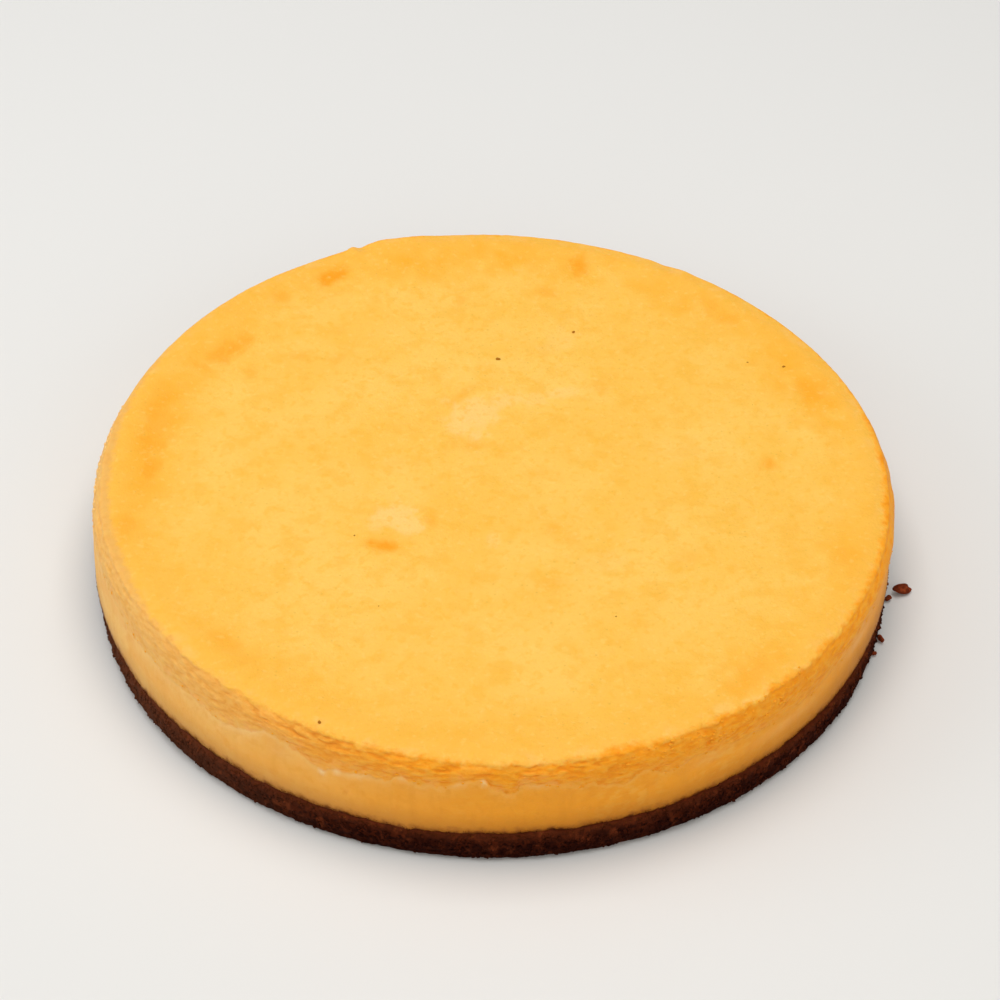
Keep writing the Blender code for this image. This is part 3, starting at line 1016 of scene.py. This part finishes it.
def custard_material():
    """Golden baked custard, a little waxy and soft in the light."""
    n = Nodes("baked_custard")
    shifted = n.math("ADD", n.painted("past_shoulder"), n.jitter(620, 4, 3))
    crossing = n.rise(shifted, -1.5, 0.7)
    fibres = n.noise(380, 5, (1, 1, 2.4))
    n.feed(n.shader.inputs["Base Color"], n.mix(crossing, side_color(n, fibres), top_color(n)))
    n.gloss(0.55, 0.14)
    n.shader.inputs["Subsurface Weight"].default_value = 0.15
    n.shader.inputs["Subsurface Radius"].default_value = (1, 0.45, 0.12)
    n.shader.inputs["Subsurface Scale"].default_value = 0.002
    torn = n.times(n.rise(n.painted("above_edge"), -0.3, 0.8), n.flip(crossing))
    leftward = n.rise(n.left(), 0.045, 0.1)
    strength = n.math("SUBTRACT", 0.42, n.math("MULTIPLY", leftward, 0.25))
    rough = n.math("MULTIPLY", n.math("MULTIPLY", fibres, torn), strength)
    fine = n.math("MULTIPLY", n.noise(1300, 3), 0.14)
    coarse = n.math("MULTIPLY", n.noise(420, 3), 0.16)
    even = n.math("ADD", fine, coarse)
    n.bump(n.math("ADD", even, rough), 1, 0.001)
    return n.material


def crumb_material(name, dark, middle, light, paler=0.0):
    """Baked crumb in three shades, grain by grain; with paler given, paler where it meets the custard,
    darker towards the floor as painted shade and lighter at the left as painted light.
    """
    n = Nodes(name)
    shade = n.add("ShaderNodeSeparateColor")
    n.feed(shade.inputs[0], n.cells(1100, "Color"))
    color = n.mix(n.rise(shade.outputs[0], 0.1, 0.9), dark, middle)
    color = n.mix(n.rise(n.noise(330, 3), 0.52, 0.72), color, light, 0.8)
    color = n.mix(n.rise(n.noise(190, 2), 0.46, 0.6), color, dark, 0.6)
    if paler:
        # Painted shade: darker towards the floor that the base stands on.
        low = n.flip(n.rise(n.axis("Z"), 0.0005, 0.0065))
        color = n.mix(low, color, dark, 0.5)
        high = n.rise(n.axis("Z"), 0.0055, 0.0092)
        left = n.rise(n.left(), 0.03, 0.11)
        color = n.mix(n.times(high, paler), color, light)
        # Painted light: lighter and redder towards the cake's left.
        color = n.mix(left, color, (0.15, 0.05, 0.022), 0.5)
    n.feed(n.shader.inputs["Base Color"], color)
    n.gloss(0.9, 0.04)
    n.bump(n.noise(1600, 4), 0.45, 0.0004)
    return n.material


def plain_material(name, color, roughness):
    n = Nodes(name)
    n.shader.inputs["Base Color"].default_value = (*color, 1)
    n.gloss(roughness, 0.2)
    return n.material


# The setting.

def make_floor():
    bpy.ops.object.select_all(action="DESELECT")
    bpy.ops.mesh.primitive_plane_add(size=6.0, location=(0.0, 0.0, -0.2 * MM))
    floor = bpy.context.object
    floor.name = "pale_floor"
    floor.data.materials.append(plain_material("pale_floor", (0.77, 0.765, 0.75), 0.8))


def soft_light(name, place, size, power, color):
    """A large square light that faces the cake."""
    data = bpy.data.lights.new(name, "AREA")
    data.shape = "SQUARE"
    data.size = size
    data.energy = power
    data.color = color
    light = bpy.data.objects.new(name, data)
    light.location = place
    light.rotation_euler = (-Vector(place)).to_track_quat("-Z", "Y").to_euler()
    bpy.context.collection.objects.link(light)


def make_lights():
    world = bpy.data.worlds.new("soft_room")
    world.use_nodes = True
    background = world.node_tree.nodes["Background"]
    background.inputs["Color"].default_value = (1.0, 1.0, 1.0, 1.0)
    background.inputs["Strength"].default_value = 0.295
    bpy.context.scene.world = world
    soft_light("overhead", (0.0, 0.1, 1.2), 1.0, 9.9, (1.0, 0.99, 0.97))
    soft_light("back_left", (-0.6, 0.5, 0.9), 0.9, 1.2, (1.0, 1.0, 1.0))
    soft_light("left", (-1.1, -0.1, 0.45), 0.8, 3.7, (0.98, 0.99, 1.0))
    soft_light("front", (0.2, -1.1, 0.5), 0.8, 2.85, (1.0, 0.95, 0.86))
    soft_light("right", (1.0, -0.4, 0.5), 0.8, 1.3, (1.0, 0.96, 0.88))


def make_camera():
    """A long lens that looks down on the cake by about 43 degrees."""
    tilt = math.radians(42.67)
    roll = math.radians(0.15)
    distance = 6.7 * WALL_RADIUS
    target = Vector((0.0190 * WALL_RADIUS, 0.1943 * WALL_RADIUS, 0.0))
    forward = Vector((0.0, math.cos(tilt), -math.sin(tilt)))
    right = Vector((1.0, 0.0, 0.0))
    up = Vector((0.0, math.sin(tilt), math.cos(tilt)))
    side = math.cos(roll) * right + math.sin(roll) * up
    top = math.cos(roll) * up - math.sin(roll) * right
    data = bpy.data.cameras.new("camera")
    data.sensor_width = 36.0
    data.lens = 91.7
    camera = bpy.data.objects.new("camera", data)
    basis = Matrix((side, top, -forward)).transposed().to_4x4()
    camera.matrix_world = Matrix.Translation(target - distance * forward) @ basis
    bpy.context.collection.objects.link(camera)
    bpy.context.scene.camera = camera


def dress(piece, material, slot, *nodes):
    """Give a finished piece its material and its body, and hide the parts of the model that it stands
    for.
    """
    piece.data.materials.clear()
    piece.data.materials.append(material)
    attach(piece, "root")
    if nodes:
        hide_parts(*nodes)


def main():
    make_camera()
    make_lights()
    make_floor()
    bpy.context.scene.view_settings.view_transform = "Standard"
    custard = custard_material()
    crumb = crumb_material("chocolate_crumb", (0.018, 0.0028, 0.0014), (0.06, 0.0098, 0.0028),
                           (0.16, 0.033, 0.01), 0.42)
    dust = crumb_material("fine_crumb", (0.06, 0.012, 0.002), (0.12, 0.028, 0.005),
                          (0.22, 0.065, 0.012))
    reddish = crumb_material("reddish_crumb", (0.12, 0.02, 0.006), (0.26, 0.045, 0.014),
                             (0.42, 0.085, 0.025))
    pale = plain_material("pale_custard", (0.95, 0.6, 0.21), 0.8)
    torn = plain_material("torn_custard", (0.9, 0.36, 0.02), 0.9)
    speck = plain_material("dark_speck", (0.38, 0.14, 0.006), 0.9)
    pieces = (make_custard(), make_crumb_base())
    dress(pieces[0], custard, "baked_custard", "custard_filling")
    dress(pieces[1], crumb, "chocolate_crumb", "crumb_base")
    grains = [lump_shape(1, seed) for seed in range(4)]
    lumps = [lump_shape(3, seed) for seed in range(4)]
    small_lumps = [lump_shape(2, seed) for seed in range(4)]
    bpy.context.view_layer.update()
    dress(clinging_crumbs(pieces, grains), crumb, "chocolate_crumb")
    dress(seam_dust(pieces, grains), dust, "chocolate_crumb")
    dress(pale_bits(pieces, grains), pale, "baked_custard")
    dress(custard_bits(pieces, small_lumps), torn, "baked_custard")
    dress(fallen_crumbs(lumps), reddish, "chocolate_crumb")
    dress(dark_specks([lump_shape(2, 9)]), speck, "chocolate_crumb")


main()
